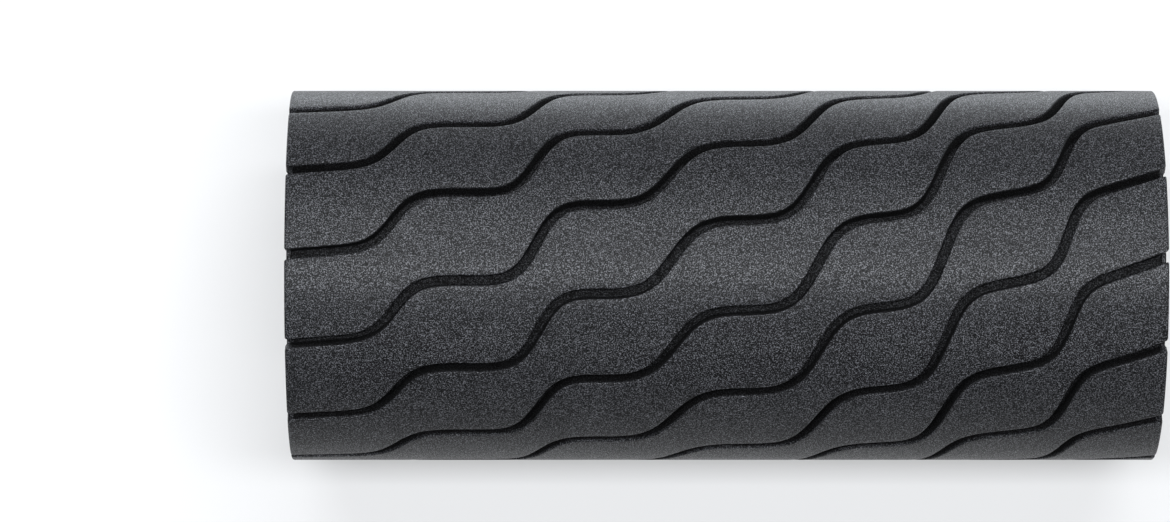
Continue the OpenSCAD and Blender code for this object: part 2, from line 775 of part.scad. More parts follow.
// Leads: swept tubes through hand-set points, smoothed to a round path
function lerp(a, b, t) = a + (b - a) * t;
function spline(a, b, c, d, t) = 0.5 * (2 * b + (c - a) * t + (2 * a - 5 * b + 4 * c - d) * t * t
  + (3 * b - a - 3 * c + d) * t * t * t);
function route(pts, cuts) = let (n = len(pts)) concat(
  [for (i = [0:n - 2], k = [0:cuts - 1])
    spline(pts[max(i - 1, 0)], pts[i], pts[i + 1], pts[min(i + 2, n - 1)], k / cuts)],
  [pts[n - 1]]
);
function unit(v) = v / norm(v);
function course(p, i) = unit(p[min(i + 1, len(p) - 1)] - p[max(i - 1, 0)]);
function lead_ring(c, t, r, n) = let (
    side = unit(cross(t, abs(t[1]) < 0.9 ? [0, 1, 0] : [0, 0, 1])), up = cross(side, t)
  ) [for (k = [0:n - 1]) c + r * (cos(k * 360 / n) * side + sin(k * 360 / n) * up)];

module lead(pts, r) {
  p = route(pts, 3);
  rings = [for (i = [0:len(p) - 1]) lead_ring(p[i], course(p, i), r, 8)];
  polyhedron(points = flat(rings), faces = tube_faces(len(rings), 8), convexity = 6);
}

battery_route = [
  [-77, 7.5, -2.7], [-77, 7.5, -1.8], [-77, 7.5, -0.9], [-76, 9.5, 1], [-72, 17, 1.2], [-67.5, 25, -0.4],
  [-63.5, 30.5, -3.2], [-60, 32.6, -8], [-56, 31.6, -12], [-50, 31, -13], [-30, 31, -13],
  [0, 31, -13], [30, 31, -13], [50, 31, -13], [57, 30, -11.5], [62, 25, -7], [65.5, 17, -3.2],
  [66, 12.2, -3], [66, 11, -5.2], [66, 11, -6.8], [66, 11, -8.4]
];
motor_route = [
  [31, -12.6, 0], [31, -14.4, 0], [31, -16.2, -0.4], [31.5, -25, -7], [38, -30.5, -12.5],
  [54, -31, -13], [61, -26, -8], [65.5, -17, -3.2], [66, -12.2, -3], [66, -11, -5.2],
  [66, -11, -6.8], [66, -11, -8.4]
];
control_route = [
  [112, 11, -8.4], [112, 11, -6.8], [112, 11, -5.2], [113.2, 9.6, -2.6], [117, 6, 0.4],
  [122, 2, 2.6], [127, -3.5, 3.7], [130.5, -6, 4], [132.2, -6, 4], [133.9, -6, 4]
];

module battery_lead() {
  color([0.6, 0.08, 0.06]) lead(battery_route, 1.5);
}

module motor_lead() {
  color([0.6, 0.08, 0.06]) lead(motor_route, 1.2);
}

module control_lead() {
  color([0.85, 0.85, 0.82]) lead(control_route, 1.3);
}

foam_sleeve();
core_tube();
control_cap();
plain_cap();
cover_disc();
seal_rings();
panel_overlay();
power_button();
speed_up_button();
speed_down_button();
power_plunger();
speed_up_plunger();
speed_down_plunger();
level_lights();
light_chips();
push_switches();
charge_socket();
socket_pin();
control_board();
board_screws();
control_cap_screws();
plain_cap_screws();
chassis_lower();
chassis_upper();
chassis_screws();
motor_can();
motor_end_bells();
motor_bushes();
field_magnets();
brush_holders();
brushes();
motor_shaft();
armature_core();
armature_windings();
commutator();
eccentric_weights();
weight_screws();
bearing_outer_rings();
bearing_inner_rings();
bearing_balls();
battery_cells();
cell_holders();
cell_links();
battery_straps();
battery_pads();
protection_board();
driver_board();
driver_board_screws();
capacitors();
transistors();
board_connectors();
battery_lead();
motor_lead();
control_lead();
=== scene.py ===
"""Looks of a vibrating foam roller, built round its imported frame.

The roller lies on its side with its axis along X. Sizes are in metres. A place round the roller is
an angle from straight up (+Z) towards +Y, and a distance from the axis.
"""

import json
import math
from math import cos, pi, sin, sqrt, tanh

import bmesh
import bpy
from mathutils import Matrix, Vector


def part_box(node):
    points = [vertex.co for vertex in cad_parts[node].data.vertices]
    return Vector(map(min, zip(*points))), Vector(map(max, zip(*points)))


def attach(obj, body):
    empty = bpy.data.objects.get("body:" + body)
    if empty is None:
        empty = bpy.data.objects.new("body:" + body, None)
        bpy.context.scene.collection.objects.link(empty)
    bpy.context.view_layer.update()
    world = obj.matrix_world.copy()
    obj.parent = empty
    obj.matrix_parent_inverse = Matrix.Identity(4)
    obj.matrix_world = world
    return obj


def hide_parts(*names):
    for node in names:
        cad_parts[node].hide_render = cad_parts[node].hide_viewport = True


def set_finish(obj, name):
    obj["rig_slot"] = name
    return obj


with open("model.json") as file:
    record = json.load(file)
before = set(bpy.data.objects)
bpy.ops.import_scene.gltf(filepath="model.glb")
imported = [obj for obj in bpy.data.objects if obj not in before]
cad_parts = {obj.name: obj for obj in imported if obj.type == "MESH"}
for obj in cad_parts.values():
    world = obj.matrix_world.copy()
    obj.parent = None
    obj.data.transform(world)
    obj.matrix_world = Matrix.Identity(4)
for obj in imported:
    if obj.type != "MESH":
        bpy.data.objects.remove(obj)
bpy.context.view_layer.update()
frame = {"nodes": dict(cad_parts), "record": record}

MM = 0.001
ON_AXIS = 1e-9

# ------------------------------------------------------------------ sizes, from the frame
FOAM_LOW, FOAM_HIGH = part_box("foam_sleeve")
HALF_L = FOAM_HIGH[0]
FOAM_R = FOAM_HIGH[2]
FLOOR_Z = FOAM_LOW[2]
TUBE_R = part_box("core_tube")[1][2]
OVERLAY_LOW, OVERLAY_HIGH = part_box("panel_overlay")
CAP_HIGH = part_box("control_cap")[1]
COVER_LOW, COVER_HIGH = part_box("cover_disc")

# Grooves, the shallow lip of their floors at each end, and the treads that stand proud between them
GROOVES = 13
GROOVE_W = 3.6 * MM
GROOVE_DEEP = 6.5 * MM
LIP_L = 2.1 * MM
LIP_RISE = 0.8 * MM
LIP_RUN = 0.35 * MM
TREAD_PROUD = 0.45 * MM
PROUD_RUN = 0.7 * MM
END_EASE = 3 * MM
END_ROUND = 0.7 * MM
EDGE_ROUND = 0.35 * MM
FLOOR_ROUND = 0.6 * MM
# A groove's line, in degrees round the roller: a gentle curve (degrees at the middle, per mm, and
# per 100 mm squared and cubed), and six soft steps (place in mm, climb in degrees, softness in mm)
LINE_SLOPE = (3.2, -0.044, 4.3, 3.8)
LINE_STEPS = (
    (-114.8, 18.4, 8.1), (-65.2, 25.8, 7.9), (-18.3, 25.5, 10.2),
    (31.4, 28.9, 9.0), (75.3, 31.2, 7.4), (118.0, 22.4, 5.6),
)
# How finely the foam is meshed: rings along it, points across a tread, points of half a groove
STATION_GAP = 1.15 * MM
LIP_STATIONS = 9
LIP_STATION_GAP = 0.06 * MM
END_STATIONS = 6
TREAD_COLUMNS = 15
FLOOR_SPOTS = (0, 0.35, 0.7)
CORNER_STEPS = 3
WALL_STEPS = 4
EDGE_STEPS = 4
BASE_ROW = len(FLOOR_SPOTS) + 2
END_ROWS = 4


# ------------------------------------------------------------------ mesh helpers
def placed(name, data):
    """A new object in the scene."""
    obj = bpy.data.objects.new(name, data)
    bpy.context.scene.collection.objects.link(obj)
    return obj


def mesh_object(name, verts, faces, smooth_angle=35):
    """Object from plain lists, with normals turned outwards and shading smooth below an angle."""
    mesh = bpy.data.meshes.new(name)
    mesh.from_pydata([tuple(v) for v in verts], [], [tuple(f) for f in faces])
    mesh.validate()
    obj = placed(name, mesh)
    bm = bmesh.new()
    bm.from_mesh(mesh)
    bmesh.ops.remove_doubles(bm, verts=bm.verts, dist=1e-7)
    bmesh.ops.recalc_face_normals(bm, faces=bm.faces)
    bm.to_mesh(mesh)
    bm.free()
    smooth(obj, smooth_angle)
    return obj


def smooth(obj, angle=35):
    mesh = obj.data
    mesh.polygons.foreach_set("use_smooth", [True] * len(mesh.polygons))
    mesh.set_sharp_from_angle(angle=math.radians(angle))
    mesh.update()


def rounded(points, radius, steps=4):
    """Closed (r, x) outline with each corner replaced by an arc, as large as its sides allow."""
    out = []
    n = len(points)
    for i in range(n):
        before, at, after = (Vector(points[(i + k) % n]) for k in (-1, 0, 1))
        if at[0] < ON_AXIS:
            out.append(tuple(at))
            continue
        to_before, to_after = before - at, after - at
        room = min(to_before.length, to_after.length) * 0.45
        angle = to_before.angle(to_after)
        cut = min(radius / max(math.tan(angle / 2), 1e-3), room)
        start, end = at + to_before.normalized() * cut, at + to_after.normalized() * cut
        for k in range(steps + 1):
            t = k / steps
            out.append(tuple(start * (1 - t) ** 2 + at * 2 * t * (1 - t) + end * t * t))
    return out


def lathe(name, outline, segments=144, centre=(0, 0)):
    """Solid of revolution about an axis along X; outline is a closed list of (r, x)."""
    n = len(outline)
    verts, faces, rings = [], [], []
    for r, x in outline:
        if r < ON_AXIS:
            rings.append([len(verts)] * segments)
            verts.append((x, centre[0], centre[1]))
            continue
        rings.append(list(range(len(verts), len(verts) + segments)))
        for k in range(segments):
            a = 2 * pi * k / segments
            verts.append((x, centre[0] + r * cos(a), centre[1] + r * sin(a)))
    for i in range(n):
        a, b = rings[i], rings[(i + 1) % n]
        if max(outline[i][0], outline[(i + 1) % n][0]) < ON_AXIS:
            continue
        for k in range(segments):
            j = (k + 1) % segments
            face = [a[k], a[j], b[j], b[k]]
            faces.append(list(dict.fromkeys(face)))
    return mesh_object(name, verts, faces)


def rod(name, x0, x1, r, centre, segments):
    return lathe(name, [(0, x0), (r, x0), (r, x1), (0, x1)], segments, centre)


def joined(name, objs):
    """One object from several, first one's name and place kept."""
    bpy.ops.object.select_all(action="DESELECT")
    for o in objs:
        o.select_set(True)
    bpy.context.view_layer.objects.active = objs[0]
    if len(objs) > 1:
        bpy.ops.object.join()
    objs[0].name = name
    objs[0].data.name = name
    return objs[0]


def cut(obj, cutters):
    """Boolean difference, applied, with the cutters removed."""
    tool = joined("cutter", cutters)
    mod = obj.modifiers.new("cut", "BOOLEAN")
    mod.operation = "DIFFERENCE"
    mod.solver = "EXACT"
    mod.object = tool
    bpy.context.view_layer.update()
    graph = bpy.context.evaluated_depsgraph_get()
    done = bpy.data.meshes.new_from_object(obj.evaluated_get(graph))
    obj.modifiers.clear()
    obj.data = done
    bpy.data.objects.remove(tool)
    smooth(obj)
    return obj


def settle(piece, body, node, slot):
    """A new piece that stands for one CAD node."""
    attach(piece, body)
    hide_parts(node)
    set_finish(piece, slot)
    return piece


# ------------------------------------------------------------------ foam sleeve
def line_angle(x):
    """Angle of a groove's centre line at x, in radians."""
    u = x / MM / 100
    steps = sum(h / 2 * (1 + tanh((x / MM - c) / w)) for c, h, w in LINE_STEPS)
    base = LINE_SLOPE[0] + LINE_SLOPE[1] * u * 100 + LINE_SLOPE[2] * u**2 + LINE_SLOPE[3] * u**3
    return math.radians(base + steps)


def line_rate(x):
    """Slope of the line on the unrolled surface: distance round for each distance along."""
    u = x / MM / 100
    steps = sum(h / 2 / w * (1 - tanh((x / MM - c) / w) ** 2) for c, h, w in LINE_STEPS)
    base = LINE_SLOPE[1] + 2 * LINE_SLOPE[2] * u / 100 + 3 * LINE_SLOPE[3] * u**2 / 100
    return math.radians(base + steps) / MM * FOAM_R


def ease(t):
    t = min(max(t, 0.0), 1.0)
    return t * t * (3 - 2 * t)


def half_groove(x, shrink):
    """Points (distance square-on, radius) from a groove's middle up to the top of its wall."""
    half = GROOVE_W / 2 + shrink
    top = FOAM_R - shrink
    lip = ease((abs(x) - (HALF_L - LIP_L)) / LIP_RUN) * LIP_RISE
    low = FOAM_R - GROOVE_DEEP + lip - shrink
    c, e = FLOOR_ROUND, EDGE_ROUND
    points = [(t * (half - c), low) for t in FLOOR_SPOTS]
    for k in range(CORNER_STEPS + 1):
        a = k / CORNER_STEPS * pi / 2
        points.append((half - c + c * sin(a), low + c * (1 - cos(a))))
    for k in range(1, WALL_STEPS + 1):
        points.append((half, low + c + (top - e - low - c) * k / (WALL_STEPS + 1)))
    for k in range(EDGE_STEPS + 1):
        a = k / EDGE_STEPS * pi / 2
        points.append((half + e * (1 - cos(a)), top - e + e * sin(a)))
    return points


def end_limit(r):
    """How far a point of the end profile may reach: the treads stand proud of the base foam."""
    base = FOAM_R - GROOVE_DEEP + LIP_RISE
    return HALF_L - TREAD_PROUD * (1 - ease((r - base) / PROUD_RUN))


def drawn_in(x, r):
    """Place along the roller once its last few millimetres are eased in to the end profile."""
    return x - (HALF_L - end_limit(r)) * ease((x - HALF_L + END_EASE) / END_EASE)


def section(x, shrink):
    """One ring of the outer surface, with the point counts of half a groove and of a whole period."""
    stretch = sqrt(1 + line_rate(x) ** 2)
    start, period = line_angle(x), 2 * pi / GROOVES
    half = [(s * stretch / r, r) for s, r in half_groove(x, shrink)]
    up, r_top = half[-1]
    tread = [(up + (period - 2 * up) * k / TREAD_COLUMNS, r_top) for k in range(1, TREAD_COLUMNS)]
    down = [(period - a, r) for a, r in reversed(half[1:])]
    ring = []
    for i in range(GROOVES):
        for a, r in half + tread + down:
            ring.append((math.copysign(drawn_in(abs(x), r), x), r, start + i * period + a))
    return ring, len(half), len(half) + len(tread) + len(down)


def at(x, r, a):
    return (x, r * sin(a), r * cos(a))


def on_floor(point):
    """The foam is pressed flat where it lies on the floor."""
    return (point[0], point[1], max(point[2], FLOOR_Z))


def foam_stations():
    """Each ring's place along the roller, and how far the end's rounding draws it in."""
    inner = HALF_L - END_ROUND
    count = round(2 * inner / STATION_GAP)
    places = {round(-inner + 2 * inner * k / count, 7): 0.0 for k in range(count + 1)}
    for side in (-1, 1):
        for k in range(LIP_STATIONS):
            places[round(side * (HALF_L - LIP_L + (k - 1) * LIP_STATION_GAP), 7)] = 0.0
        for k in range(1, END_STATIONS + 1):
            a = k / END_STATIONS * pi / 2
            places[round(side * (inner + END_ROUND * sin(a)), 7)] = END_ROUND * (1 - cos(a))
    return sorted(places.items())


def foam_sleeve():
    """Grooved sleeve as one closed mesh: outer surface, two end faces and the bore."""
    verts, faces = [], []
    rings = []
    for x, shrink in foam_stations():
        ring, n_half, n_period = section(x, shrink)
        rings.append(range(len(verts), len(verts) + len(ring)))
        verts += [on_floor(at(*p)) for p in ring]

    def band(a, b):
        for k in range(len(a)):
            j = (k + 1) % len(a)
            faces.append((a[k], a[j], b[j], b[k]))

    for a, b in zip(rings, rings[1:]):
        band(a, b)
    bores = []
    for side, ring in ((-1, rings[0]), (1, rings[-1])):
        bores.append(end_face(verts, faces, ring, side, n_half, n_period))
    band(bores[0], bores[1])
    foam = mesh_object("foam_sleeve_moulded", verts, faces, 50)
    return settle(foam, "root", "foam_sleeve", "foam")


def end_face(verts, faces, ring, side, n_half, n_period):
    """Closes one end: rows across each tread, then rings in to the bore. Returns the bore's ring."""
    polar = {
        i: (verts[i][0], math.hypot(*verts[i][1:]), math.atan2(verts[i][1], verts[i][2]))
        for i in ring
    }
    low = []
    for g in range(GROOVES):
        first = ring[0] + g * n_period
        left = [first + k for k in range(n_half)]
        right = [None] + [first + n_period - k for k in range(1, n_half)]
        above = [left[-1]] + [first + n_half + k for k in range(TREAD_COLUMNS - 1)] + [right[-1]]
        for j in range(n_half - 2, BASE_ROW - 1, -1):
            row = tread_row(verts, polar, left[j], right[j])
            for k in range(TREAD_COLUMNS):
                faces.append((above[k], above[k + 1], row[k + 1], row[k]))
            above = row
        low += left[:BASE_ROW] + above + right[BASE_ROW - 1:0:-1]
    previous = low
    base_x = side * (HALF_L - TREAD_PROUD)
    for row in range(1, END_ROWS + 1):
        current = list(range(len(verts), len(verts) + len(low)))
        for i in low:
            y, z = verts[i][1:]
            r, a = math.hypot(y, z), math.atan2(y, z)
            new_r = r + (TUBE_R - r) * row / END_ROWS
            verts.append(at(base_x, new_r, a))
        for k in range(len(low)):
            j = (k + 1) % len(low)
            faces.append((previous[k], previous[j], current[j], current[k]))
        previous = current
    return previous


def tread_row(verts, polar, a, b):
    """Points across a tread's end, between two wall points at the same height."""
    xa, ra, ta = polar[a]
    xb, rb, tb = polar[b]
    while tb < ta:
        tb += 2 * pi
    row = [a]
    for k in range(1, TREAD_COLUMNS):
        t = k / TREAD_COLUMNS
        row.append(len(verts))
        verts.append(at(xa + (xb - xa) * t, ra + (rb - ra) * t, ta + (tb - ta) * t))
    return row + [b]


# ------------------------------------------------------------------ end caps
def circle_of(node):
    """Centre (y, z) and radius of a round CAD piece that stands along X."""
    low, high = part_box(node)
    return ((low[1] + high[1]) / 2, (low[2] + high[2]) / 2), (high[1] - low[1]) / 2


WALL_X = OVERLAY_LOW[0]
FACE_X = OVERLAY_HIGH[0]
FLANGE_X = CAP_HIGH[0]
CAP_R = CAP_HIGH[2]
RECESS_R = OVERLAY_HIGH[2] + 0.3 * MM
TUBE_BORE_R = TUBE_R - 3.5 * MM
WALL_T = 2.5 * MM
SPIGOT_L = 10 * MM
CAP_ROUND = 0.45 * MM
LIP_OUT = 1.2 * MM
FIT = 0.15 * MM
LIGHT_R = 1.2 * MM
LIGHT_RING_R = 26 * MM
LIGHT_ANGLES = [math.radians(90 + 14 * k) for k in (-2, -1, 0, 1, 2)]
LIGHT_PLACES = [(LIGHT_RING_R * cos(a), LIGHT_RING_R * sin(a)) for a in LIGHT_ANGLES]
SOCKET_AT, SOCKET_R = circle_of("charge_socket")
PLUG_R = 1.8 * MM
PLUG_DEEP = 9.5 * MM
PIN_R = 0.64 * MM
MARK_TALL = 0.36 * MM
MARK_W = 0.8 * MM
MARK_L = 5 * MM
BUTTONS = {
    name: (circle_of(name)[0], circle_of(name)[1] - LIP_OUT)
    for name in ("power_button", "speed_up_button", "speed_down_button")
}


def cap_outline():
    """Half section of a cap: wall, spigot and flange, as on the CAD cap."""
    back, spigot = WALL_X - WALL_T, WALL_X - SPIGOT_L
    inside, outside = RECESS_R + 0.3 * MM, TUBE_BORE_R - 0.1 * MM
    return rounded([
        (0, back), (inside, back), (inside, spigot), (outside, spigot), (outside, WALL_X),
        (CAP_R, WALL_X), (CAP_R, FLANGE_X), (RECESS_R + 0.9 * MM, FLANGE_X),
        (RECESS_R, FLANGE_X - 1.2 * MM), (RECESS_R, WALL_X), (0, WALL_X),
    ], CAP_ROUND, 5)


def panel_cutters(x0, x1):
    """Rods for the holes of the buttons, the lights and the socket."""
    holes = [rod("hole", x0, x1, r + FIT, c, 96) for c, r in BUTTONS.values()]
    holes += [rod("hole", x0, x1, LIGHT_R + 0.1 * MM, c, 32) for c in LIGHT_PLACES]
    return holes + [rod("hole", x0, x1, SOCKET_R + 0.1 * MM, SOCKET_AT, 96)]


def control_cap():
    cap = lathe("control_cap_moulded", cap_outline(), 192)
    cap = cut(cap, panel_cutters(WALL_X - 2 * WALL_T, FLANGE_X))
    return settle(cap, "root", "control_cap", "cap_plastic")


def plain_cap():
    cap = lathe("plain_cap_moulded", [(r, -x) for r, x in cap_outline()], 192)
    return settle(cap, "root", "plain_cap", "cap_plastic")


def panel_overlay():
    """Thin gloss plate with a shallow ring groove near its rim and straight holes."""
    r, ring = OVERLAY_HIGH[2], 35.2 * MM
    outline = rounded([
        (0, WALL_X), (r, WALL_X), (r, FACE_X), (ring + 0.35 * MM, FACE_X),
        (ring + 0.2 * MM, FACE_X - 0.2 * MM), (ring - 0.2 * MM, FACE_X - 0.2 * MM),
        (ring - 0.35 * MM, FACE_X), (0, FACE_X),
    ], 0.12 * MM, 3)
    plate = lathe("panel_overlay_gloss", outline, 192)
    plate = cut(plate, panel_cutters(WALL_X - WALL_T, FLANGE_X))
    return settle(plate, "root", "panel_overlay", "panel_gloss")


def cover_disc():
    """Cover on the plain end: a shallow dish with three fine rings round its rim."""
    face, back = COVER_LOW[0], COVER_LOW[0] + 1.5 * MM
    r = COVER_HIGH[2]
    points = [(0, back), (r, back), (r, face)]
    for k in range(3):
        mid = r - (2.4 + 1.5 * k) * MM
        points += [(mid + 0.35 * MM, face), (mid, face + 0.3 * MM), (mid - 0.35 * MM, face)]
    dish_r = r - 8 * MM
    points += [(dish_r, face), (dish_r - 1.2 * MM, face + 0.45 * MM), (0, face + 0.6 * MM)]
    disc = lathe("cover_disc_moulded", rounded(points, 0.15 * MM, 3), 192)
    return settle(disc, "root", "cover_disc", "cover_plastic")


def bar_mark(x, y, z, size_y, size_z):
    """Small raised bar with rounded edges, standing on a button's face."""
    bm = bmesh.new()
    bmesh.ops.create_cube(bm, size=1)
    bmesh.ops.scale(bm, verts=bm.verts, vec=(MARK_TALL, size_y, size_z))
    bmesh.ops.bevel(bm, geom=bm.edges[:], offset=0.1 * MM, segments=3, affect="EDGES")
    bmesh.ops.translate(bm, verts=bm.verts, vec=(x - MARK_TALL / 2, y, z))
    mesh = bpy.data.meshes.new("mark")
    bm.to_mesh(mesh)
    bm.free()
    obj = placed("mark", mesh)
    smooth(obj)
    return obj


def ring_mark(x, r, gap_angle, thick):
    """Open ring round the roller's axis for the power mark: a flattened tube with closed ends."""
    verts, faces = [], []
    steps, around = 48, 12
    for k in range(steps + 1):
        a = pi / 2 + gap_angle + (2 * pi - 2 * gap_angle) * k / steps
        for j in range(around):
            b = 2 * pi * j / around
            out = r + thick / 2 * cos(b)
            verts.append((x - 0.16 * MM + 0.2 * MM * sin(b), out * cos(a), out * sin(a)))
    for k in range(steps):
        for j in range(around):
            n = (j + 1) % around
            at_k, after = k * around, (k + 1) * around
            faces.append((at_k + j, at_k + n, after + n, after + j))
    faces.append(range(around))
    faces.append(range(steps * around, (steps + 1) * around))
    return mesh_object("mark", verts, faces)


def button(node, slot, marks):
    """Button with a dished face, a rounded rim, a retaining lip and its stem."""
    low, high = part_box(node)
    centre, r = BUTTONS[node]
    top = high[0] - 0.1 * MM
    lip = WALL_X - WALL_T - 0.05 * MM
    lip_back, stem_r = lip - 1.15 * MM, 2.6 * MM
    outline = rounded([
        (0, low[0]), (stem_r, low[0]), (stem_r, lip_back),
        (r + LIP_OUT, lip_back), (r + LIP_OUT, lip), (r, lip), (r, top),
        (r - 0.8 * MM, top), (r * 0.55, top - 0.25 * MM), (0, top - 0.35 * MM),
    ], 0.4 * MM, 5)
    piece = lathe(node + "_moulded", outline, 96, centre)
    symbol = joined(node + "_mark", [mark(high[0], centre) for mark in marks])
    body = node.replace("_button", "_key")
    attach(symbol, body)
    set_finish(symbol, "chip_white")
    return [settle(piece, body, node, slot), symbol]


def buttons():
    """The three buttons and their raised power, plus and minus marks."""
    def cross_bar(x, c):
        return bar_mark(x, c[0], c[1], MARK_L, MARK_W)

    def upright_bar(x, c):
        return bar_mark(x, c[0], c[1], MARK_W, MARK_L)

    def power_ring(x, _centre):
        return ring_mark(x, 3.2 * MM, 0.4, MARK_W)

    def power_bar(x, c):
        return bar_mark(x, c[0], c[1] + 2.7 * MM, MARK_W, 3.4 * MM)

    keys = button("power_button", "button_plastic", [power_ring, power_bar])
    keys += button("speed_up_button", "button_plastic", [cross_bar, upright_bar])
    return keys + button("speed_down_button", "button_plastic", [cross_bar])


def level_lights():
    """Clear light guide: a curved bar behind the wall and five domed pins through the panel."""
    low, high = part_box("level_lights")
    dome = 0.35 * MM
    shoulder = high[0] - dome
    outline = [(0, low[0]), (LIGHT_R, low[0]), (LIGHT_R, shoulder)]
    outline += [(LIGHT_R * cos(a), shoulder + dome * sin(a)) for a in (0.4, 0.8, 1.2)]
    outline += [(0, high[0])]
    pins = [lathe("pin", outline, 32, c) for c in LIGHT_PLACES]
    bar_x = WALL_X - WALL_T - 2.2 * MM
    bar_corners = ((0, -1.6), (0, 1.6), (2, 1.6), (2, -1.6))
    verts, faces, steps = [], [], 40
    reach = math.radians(32)
    for k in range(steps + 1):
        a = pi / 2 - reach + 2 * reach * k / steps
        for dx, dr in bar_corners:
            r = LIGHT_RING_R + dr * MM
            verts.append((bar_x + dx * MM, r * cos(a), r * sin(a)))
    for k in range(steps):
        for j in range(4):
            n = (j + 1) % 4
            faces.append((4 * k + j, 4 * k + n, 4 * k + 4 + n, 4 * k + 4 + j))
    faces += [(0, 1, 2, 3), tuple(4 * steps + j for j in range(4))]
    bar = mesh_object("bar", verts, faces)
    piece = joined("level_lights_clear", [bar] + pins)
    return settle(piece, "root", "level_lights", "clear_plastic")


def charge_socket():
    """Socket with a chamfered mouth and a stepped bore round its contact pin."""
    low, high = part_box("charge_socket")
    mouth, back = high[0], low[0]
    shoulder = low[0] + 9 * MM
    r, body_r = SOCKET_R, SOCKET_R - 0.6 * MM
    dish = mouth - 0.35 * MM
    outline = rounded([
        (PIN_R, back), (body_r, back), (body_r, shoulder), (r, shoulder), (r, mouth),
        (3.4 * MM, mouth), (3.1 * MM, dish), (2.5 * MM, dish),
        (PLUG_R, mouth - 1.0 * MM), (PLUG_R, mouth - PLUG_DEEP), (PIN_R, mouth - PLUG_DEEP),
    ], 0.12 * MM, 3)
    socket = lathe("charge_socket_moulded", outline, 96, SOCKET_AT)
    return settle(socket, "root", "charge_socket", "black_plastic")


# ------------------------------------------------------------------ materials
class Nodes:
    """Short way to add and link shader nodes in one material."""

    def __init__(self, name):
        self.material = bpy.data.materials.new(name)
        self.material.use_nodes = True
        self.tree = self.material.node_tree
        self.shader = self.tree.nodes["Principled BSDF"]
        self.place = self.tree.nodes.new("ShaderNodeTexCoord").outputs["Object"]

    def add(self, kind, inputs=None, **settings):
        node = self.tree.nodes.new("ShaderNode" + kind)
        for key, value in settings.items():
            setattr(node, key, value)
        for key, value in (inputs or {}).items():
            self.feed(node.inputs[key], value)
        return node

    def feed(self, socket, value):
        if isinstance(value, bpy.types.NodeSocket):
            self.tree.links.new(value, socket)
        else:
            socket.default_value = value

    def set(self, **values):
        for key, value in values.items():
            self.feed(self.shader.inputs[key.replace("_", " ")], value)

    def noise(self, scale, detail=2.0, rough=0.5, stretch=None):
        vector = self.place
        if stretch:
            vector = self.add("Mapping", {"Vector": vector, "Scale": stretch}).outputs[0]
        return self.add("TexNoise", {"Vector": vector, "Scale": scale, "Detail": detail,
                                     "Roughness": rough}).outputs[0]

    def ramp(self, value, stops):
        node = self.add("ValToRGB", {"Fac": value})
        ramp = node.color_ramp
        while len(ramp.elements) < len(stops):
            ramp.elements.new(0.5)
        for element, (place, colour) in zip(ramp.elements, stops):
            element.position = place
            element.color = (*colour, 1)
        return node.outputs["Color"]

    def range(self, value, low, high, from_low=0.3, from_high=0.7):
        return self.add("MapRange", {"Value": value, "From Min": from_low, "From Max": from_high,
                                     "To Min": low, "To Max": high}).outputs[0]

    def math(self, kind, a, b=0.0):
        return self.add("Math", {0: a, 1: b}, operation=kind).outputs[0]

    def bump(self, height, strength, distance):
        inputs = {"Height": height, "Strength": strength, "Distance": distance}
        return self.add("Bump", inputs).outputs[0]


def shade(colour, factor):
    return tuple(min(1.0, c * factor) for c in colour[:3])


def foam_material():
    """Closed-cell foam: a charcoal skin with a salt-and-pepper grain, and painted shade in the grooves,
    darkest on the walls.
    """
    m = Nodes("foam_with_painted_shade")
    grain = m.noise(2500, 1.0, 0.7)
    cells = m.add("TexVoronoi", {"Vector": m.place, "Scale": 2600.0}).outputs["Distance"]
    patches = m.noise(60, 3.0, 0.6)
    mixed = m.math("ADD", m.math("MULTIPLY", grain, 0.85), m.math("MULTIPLY", cells, 0.15))
    tone = m.math("ADD", mixed, m.math("MULTIPLY", m.math("SUBTRACT", patches, 0.5), 0.03))
    colour = m.ramp(tone, [
        (0.445, (0.0002, 0.0002, 0.0003)), (0.50, (0.0034, 0.0035, 0.0040)),
        (0.56, (0.027, 0.0275, 0.030)), (0.64, (0.112, 0.114, 0.124)),
    ])
    x, y, z = m.add("SeparateXYZ", {"Vector": m.place}).outputs
    # Painted shade in the grooves, set by distance from the axis: walls darkened most, floors less,
    # none in the last 2 mm by each end; the same mask makes the grooves rougher
    r = m.math("SQRT", m.math("ADD", m.math("MULTIPLY", y, y), m.math("MULTIPLY", z, z)))
    skin = m.range(r, 0.0, 1.0, FOAM_R - 1.2 * MM, FOAM_R - 0.3 * MM)
    low = FOAM_R - GROOVE_DEEP
    bottom = m.range(r, 0.25, 0.0, low + 0.3 * MM, low + 1.4 * MM)
    lip_x = HALF_L - LIP_L
    end = m.range(m.math("ABSOLUTE", x), 0.0, 1.0, lip_x - 0.3 * MM, lip_x + 0.3 * MM)
    unshaded = m.math("MAXIMUM", m.math("MAXIMUM", skin, bottom), end)
    # Painted shade: the colour is multiplied by 0.15 on the groove walls and by about a third on the
    # floors
    light = m.range(unshaded, 0.15, 1.0, 0, 1)
    shown = m.add("VectorMath", {0: colour, "Scale": light}, operation="SCALE").outputs[0]
    rough, gleam = m.range(unshaded, 1.0, 0.56, 0, 1), m.range(tone, 0.0, 0.26, 0.38, 0.66)
    m.set(Base_Color=shown, Roughness=m.math("SUBTRACT", rough, gleam), Specular_IOR_Level=0.15)
    m.set(Normal=m.bump(mixed, 0.35, 0.0001))
    return m.material


def plastic(name, colour, rough, grain=2600, depth=0.00003, coat=0.0, spread=0.25):
    """Moulded plastic with a fine eroded texture, slight cloudiness and worn, glossier patches."""
    m = Nodes(name)
    fine, cloud = m.noise(grain, 2.0, 0.6), m.noise(45, 4.0, 0.55)
    base = m.ramp(cloud, [(0.3, shade(colour, 1 - spread)), (0.7, shade(colour, 1 + spread))])
    m.set(Base_Color=base, Roughness=m.range(cloud, rough * 0.85, min(1.0, rough * 1.12)))
    m.set(Coat_Weight=coat)
    m.set(Normal=m.bump(fine, 0.35, depth))
    return m.material


